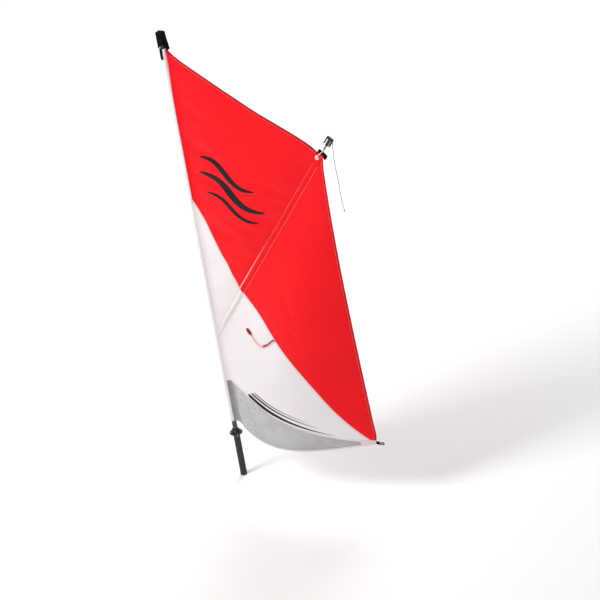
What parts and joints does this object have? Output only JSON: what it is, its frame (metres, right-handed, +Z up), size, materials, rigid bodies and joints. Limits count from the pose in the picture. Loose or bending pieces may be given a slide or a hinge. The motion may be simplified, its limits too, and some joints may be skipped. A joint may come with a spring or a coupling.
{
  "type": "small boat sail rig",
  "caption": "Stepped two-piece mast carrying a sleeved triangular sail with a diagonal batten, a clear foot window, a clew ring and a snap hook for the sheet.",
  "frame": {"origin": "centre of the flat bottom face of the mast step tube", "axes": "+Z up the mast, +X from the mast towards the clew, the sail filled towards -Y"},
  "size_m": [1.0252, 0.1384, 2.8071],
  "materials": {
    "cloth_red": "woven polyester sailcloth, slightly shiny and translucent",
    "cloth_white": "woven polyester sailcloth, off-white",
    "tape_white": "folded edge tape with a stitch line",
    "patch_white": "several layers of sailcloth sewn together",
    "patch_red": "adhesive spinnaker cloth patch",
    "ribbon_red": "light nylon ribbon",
    "window_vinyl": "clear flexible vinyl, slightly milky",
    "webbing_black": "woven polyester webbing",
    "mast_black": "black glass-fibre tube, satin",
    "rod_black": "pultruded glass-fibre rod, satin",
    "cleat_plastic": "moulded nylon",
    "step_plastic": "moulded nylon, fine grain",
    "bush_plastic": "turned acetal",
    "nylon_white": "turned nylon",
    "seal_rubber": "matt rubber",
    "eyelet_metal": "plated brass, bright",
    "steel": "stainless steel, polished",
    "cord_white": "braided polyester cord"
  },
  "bodies": {
    "mast_step": {"step_tube": "step_plastic", "step_seal": "seal_rubber", "step_wear_disc": "nylon_white", "step_bush": "bush_plastic", "step_screw_1": "steel", "step_screw_2": "steel", "step_screw_3": "steel", "step_screw_4": "steel"},
    "mast_lower": {"mast_foot_plug": "nylon_white", "lower_mast_tube": "mast_black", "mast_stop_collar": "step_plastic", "collar_screw": "steel", "mast_joint_spigot": "nylon_white"},
    "mast_upper": {"upper_mast_tube": "mast_black", "mast_top_plug": "bush_plastic"},
    "sail": {"luff_sleeve": "cloth_white", "head_cap": "webbing_black", "window_panel": "window_vinyl", "body_panel": "cloth_white", "luff_panel": "cloth_white", "head_panel": "cloth_red", "leech_panel": "cloth_red", "head_tape": "cloth_red", "leech_tape": "cloth_red", "foot_tape": "tape_white", "clew_patch": "patch_white", "heel_patch": "patch_white", "telltale_patch": "patch_red", "pocket_lower": "cloth_white", "pocket_upper": "cloth_red", "peak_eyelet": "eyelet_metal", "peak_webbing": "webbing_black", "clew_webbing": "webbing_black"},
    "batten": {"batten_heel_cap": "nylon_white", "batten_rod": "rod_black", "batten_tip_cleat": "cleat_plastic", "batten_lacing": "cord_white", "lacing_tail": "cord_white", "tail_knot": "cord_white"},
    "telltale": {"telltale_ribbon": "ribbon_red"},
    "ring": {"clew_ring": "steel"},
    "hook": {"hook_body": "cleat_plastic"},
    "gate": {"hook_gate": "cleat_plastic"},
    "swivel": {"hook_swivel_eye": "steel"}
  },
  "joints": [
    {"name": "mast_turn", "type": "hinge", "parent": "mast_step", "child": "mast_lower", "pos_m": [0, 0, 0], "axis": [0, 0, 1], "continuous": true},
    {"name": "mast_split", "type": "slide", "parent": "mast_lower", "child": "mast_upper", "axis": [0, 0, 1], "range_m": [0, 0.11]},
    {"name": "sail_lift", "type": "slide", "parent": "mast_upper", "child": "sail", "axis": [0, 0, 1], "range_m": [0, 2.4]},
    {"name": "batten_slide", "type": "slide", "parent": "sail", "child": "batten", "axis": [0.5739, 0, 0.8189], "range_m": [0, 0.08], "deforming": ["batten_lacing"]},
    {"name": "telltale_swing", "type": "hinge", "parent": "sail", "child": "telltale", "pos_m": [0.241, -0.0271, 0.987], "axis": [0, 0, -1], "range_deg": [0, 60]},
    {"name": "ring_swing", "type": "hinge", "parent": "sail", "child": "ring", "pos_m": [0.9405, 0, 0.387], "axis": [0, 0, 1], "range_deg": [-70, 70]},
    {"name": "hook_swing", "type": "hinge", "parent": "ring", "child": "hook", "pos_m": [0.9545, 0, 0.387], "axis": [0, 0, 1], "range_deg": [-50, 50]},
    {"name": "gate_open", "type": "hinge", "parent": "hook", "child": "gate", "pos_m": [0.9638, -0.0079, 0.387], "axis": [0, 0, -1], "range_deg": [0, 35], "stiffness_Nm_per_rad": 0.05},
    {"name": "hook_turn", "type": "hinge", "parent": "hook", "child": "swivel", "pos_m": [0.9545, 0, 0.387], "axis": [1, 0, 0], "continuous": true}
  ]
}
